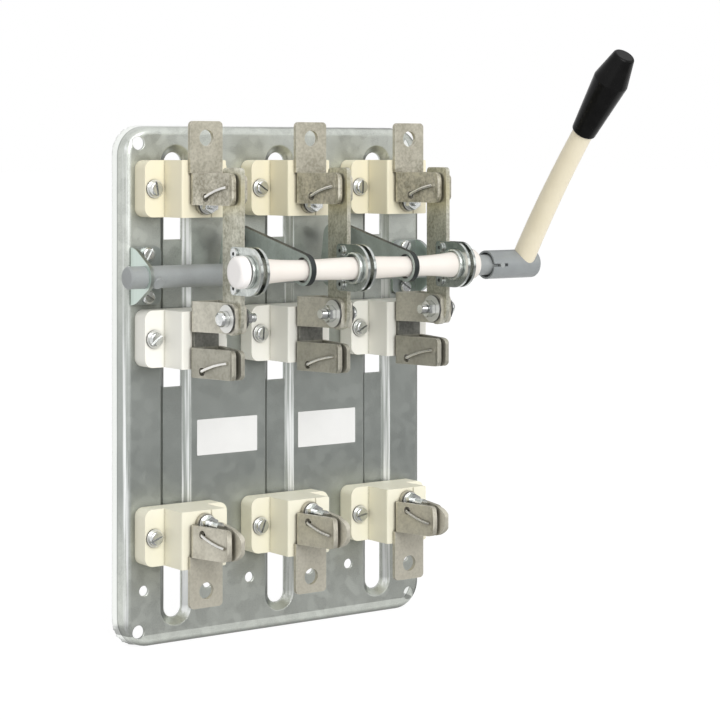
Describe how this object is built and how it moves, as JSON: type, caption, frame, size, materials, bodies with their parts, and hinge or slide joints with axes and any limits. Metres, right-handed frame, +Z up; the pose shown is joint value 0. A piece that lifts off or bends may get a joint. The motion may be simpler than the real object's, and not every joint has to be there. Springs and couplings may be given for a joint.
{
  "type": "electrical disconnect switch",
  "caption": "Wall-mounted knife switch with fuse jaws: a side handle turns a shaft that swings knives into jaws.",
  "frame": {"origin": "centre of the four wall fixing holes, in the plate's front face, 15.5 mm in front of the wall", "axes": "+Z up, the front faces -Y and the wall is behind at +Y, the handle is on the +X side"},
  "size_m": [0.3496, 0.1523, 0.4046],
  "materials": {
    "galvanised": "galvanised sheet steel, satin",
    "cream_moulding": "cream moulded insulation",
    "tinned_copper": "tinned copper, dull warm grey",
    "spring_wire": "bright spring wire",
    "zinc_fastener": "bright zinc plate",
    "zinc_bracket": "bright zinc plate",
    "zinc_link": "dull zinc plate",
    "shaft_paint": "blue-grey paint, satin",
    "hub_paint": "light grey paint, satin",
    "rod_paint": "beige paint, satin",
    "black_grip": "black moulded plastic, semi-gloss",
    "bar_moulding": "pale pinkish-white moulded insulation"
  },
  "bodies": {
    "base": {"mounting_plate": "galvanised", "top_insulator_1": "cream_moulding", "top_spring_1": "spring_wire", "middle_insulator_1": "cream_moulding", "middle_spring_1": "spring_wire", "bottom_insulator_1": "cream_moulding", "bottom_spring_1": "spring_wire", "top_contact_1": "tinned_copper", "hinge_contact_1": "tinned_copper", "bottom_contact_1": "tinned_copper", "top_insulator_2": "cream_moulding", "top_spring_2": "spring_wire", "middle_insulator_2": "cream_moulding", "middle_spring_2": "spring_wire", "bottom_insulator_2": "cream_moulding", "bottom_spring_2": "spring_wire", "top_contact_2": "tinned_copper", "hinge_contact_2": "tinned_copper", "bottom_contact_2": "tinned_copper", "top_insulator_3": "cream_moulding", "top_spring_3": "spring_wire", "middle_insulator_3": "cream_moulding", "middle_spring_3": "spring_wire", "bottom_insulator_3": "cream_moulding", "bottom_spring_3": "spring_wire", "top_contact_3": "tinned_copper", "hinge_contact_3": "tinned_copper", "bottom_contact_3": "tinned_copper", "slotted_screws": "zinc_fastener", "small_washers": "zinc_fastener", "plate_nuts": "zinc_fastener", "contact_bolts": "zinc_fastener", "contact_washers": "zinc_fastener", "contact_nuts": "zinc_fastener", "hinge_bolts": "zinc_fastener", "hinge_washers": "zinc_fastener", "hinge_nuts": "zinc_fastener", "bearing_bracket_left": "zinc_bracket", "bearing_bracket_right": "zinc_bracket"},
    "shaft": {"shaft": "shaft_paint", "shaft_pins": "zinc_fastener", "crank_pins": "zinc_fastener", "crank_1": "zinc_link", "crank_2": "zinc_link", "handle_hub": "hub_paint", "handle_rod": "rod_paint", "handle_grip": "black_grip"},
    "knives": {"knife_blade_1": "tinned_copper", "clamp_left_1": "zinc_bracket", "clamp_right_1": "zinc_bracket", "knife_blade_2": "tinned_copper", "clamp_left_2": "zinc_bracket", "clamp_right_2": "zinc_bracket", "knife_blade_3": "tinned_copper", "clamp_left_3": "zinc_bracket", "clamp_right_3": "zinc_bracket", "insulating_bar": "bar_moulding", "clamp_rivets": "zinc_fastener"},
    "link_1": {"link_1": "zinc_link"},
    "link_2": {"link_2": "zinc_link"}
  },
  "joints": [
    {"name": "shaft_turn", "type": "hinge", "parent": "base", "child": "shaft", "pos_m": [0, -0.0185, 0.0745], "axis": [1, 0, 0], "range_deg": [0, 70]},
    {"name": "knives_swing", "type": "hinge", "parent": "base", "child": "knives", "pos_m": [0, -0.072, 0.049], "axis": [1, 0, 0], "range_deg": [0, 53.4]},
    {"name": "link_1_swing", "type": "hinge", "parent": "shaft", "child": "link_1", "pos_m": [-0.043, -0.0205, 0.0985], "axis": [1, 0, 0], "range_deg": [-59.3, 0]},
    {"name": "link_2_swing", "type": "hinge", "parent": "shaft", "child": "link_2", "pos_m": [0.041, -0.0205, 0.0985], "axis": [1, 0, 0], "range_deg": [-59.3, 0]}
  ],
  "couplings": [
    {"joint": "knives_swing", "follows": "shaft_turn", "ratio": 0.7618},
    {"joint": "link_1_swing", "follows": "shaft_turn", "ratio": -0.8455},
    {"joint": "link_2_swing", "follows": "shaft_turn", "ratio": -0.8455}
  ]
}
